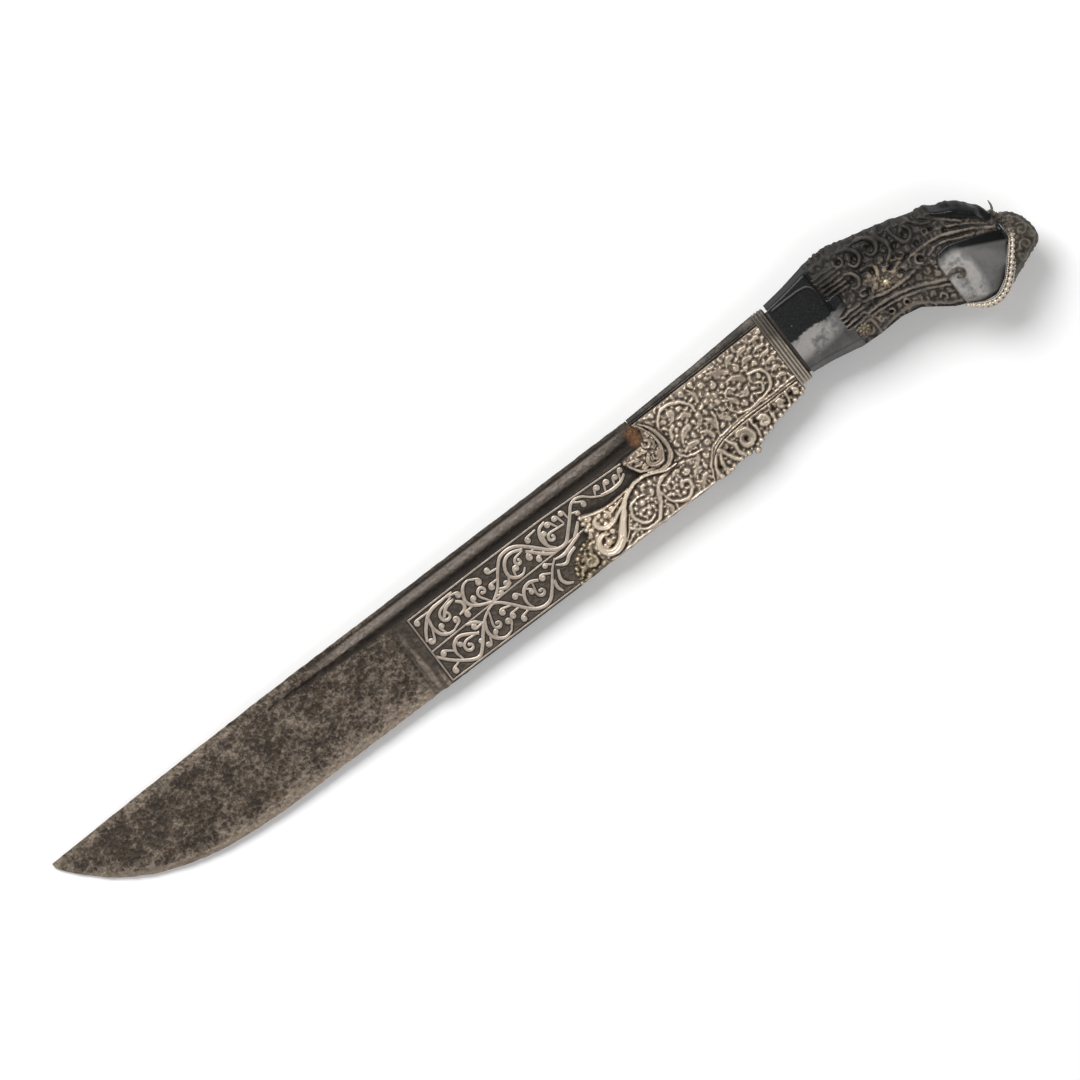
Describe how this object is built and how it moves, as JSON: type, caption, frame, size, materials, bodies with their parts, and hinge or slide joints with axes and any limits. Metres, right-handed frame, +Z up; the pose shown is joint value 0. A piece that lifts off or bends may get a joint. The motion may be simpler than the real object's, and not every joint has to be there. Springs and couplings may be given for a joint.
{
  "type": "piha kaetta knife",
  "caption": "Fixed-blade knife of South Asian type, with silver-inlaid forte, chiselled silver plates, carved dark horn grip and a chased pommel cap, lying on its side.",
  "frame": {"origin": "centre of the knife's box, on the surface it lies on", "axes": "+X along the knife from the tip to the pommel, +Y across the blade from its edge to its back, +Z up through its thickness, towards the face that the picture shows"},
  "size_m": [0.3269, 0.0421, 0.0203],
  "materials": {
    "blade_steel": "forged, dark patina with paler worn and rusty patches",
    "inlay_silver": "warm grey silver inlay, worn",
    "chased_silver": "chased silver with blackened recesses",
    "plain_silver": "plain tarnished silver",
    "golden_brass": "cast and chased, old golden patina",
    "strip_brass": "chased strip, tarnished",
    "washer_leather": "thin brown washer",
    "horn": "black horn, polished facets and worn brown carving",
    "bezel_silver": "beaded silver, worn bright",
    "cap_silver": "chased silver, dark tarnish",
    "lac_resin": "dark red-brown resin"
  },
  "bodies": {
    "root": {"blade": "blade_steel", "inlay_frame_front": "inlay_silver", "inlay_frame_back": "inlay_silver", "inlay_scrolls_front": "inlay_silver", "inlay_scrolls_back": "inlay_silver", "forte_plate_front": "chased_silver", "forte_plate_back": "chased_silver", "upper_leaf_front": "chased_silver", "upper_leaf_back": "chased_silver", "lower_volute_front": "chased_silver", "lower_volute_back": "chased_silver", "fan_leaf_front": "golden_brass", "fan_leaf_back": "golden_brass", "choil_fringe": "golden_brass", "back_strip": "plain_silver", "end_band": "plain_silver", "bead_ring": "plain_silver", "grip_spacer": "washer_leather", "horn_scale_front": "horn", "horn_scale_back": "horn", "tang_strip_back": "strip_brass", "tang_strip_belly": "strip_brass", "grip_rivets": "golden_brass", "rosettes_front": "golden_brass", "rosettes_back": "golden_brass", "pommel_bezel": "bezel_silver", "pommel_cap": "cap_silver", "pommel_fill": "lac_resin", "pommel_pin": "bezel_silver"}
  },
  "joints": []
}
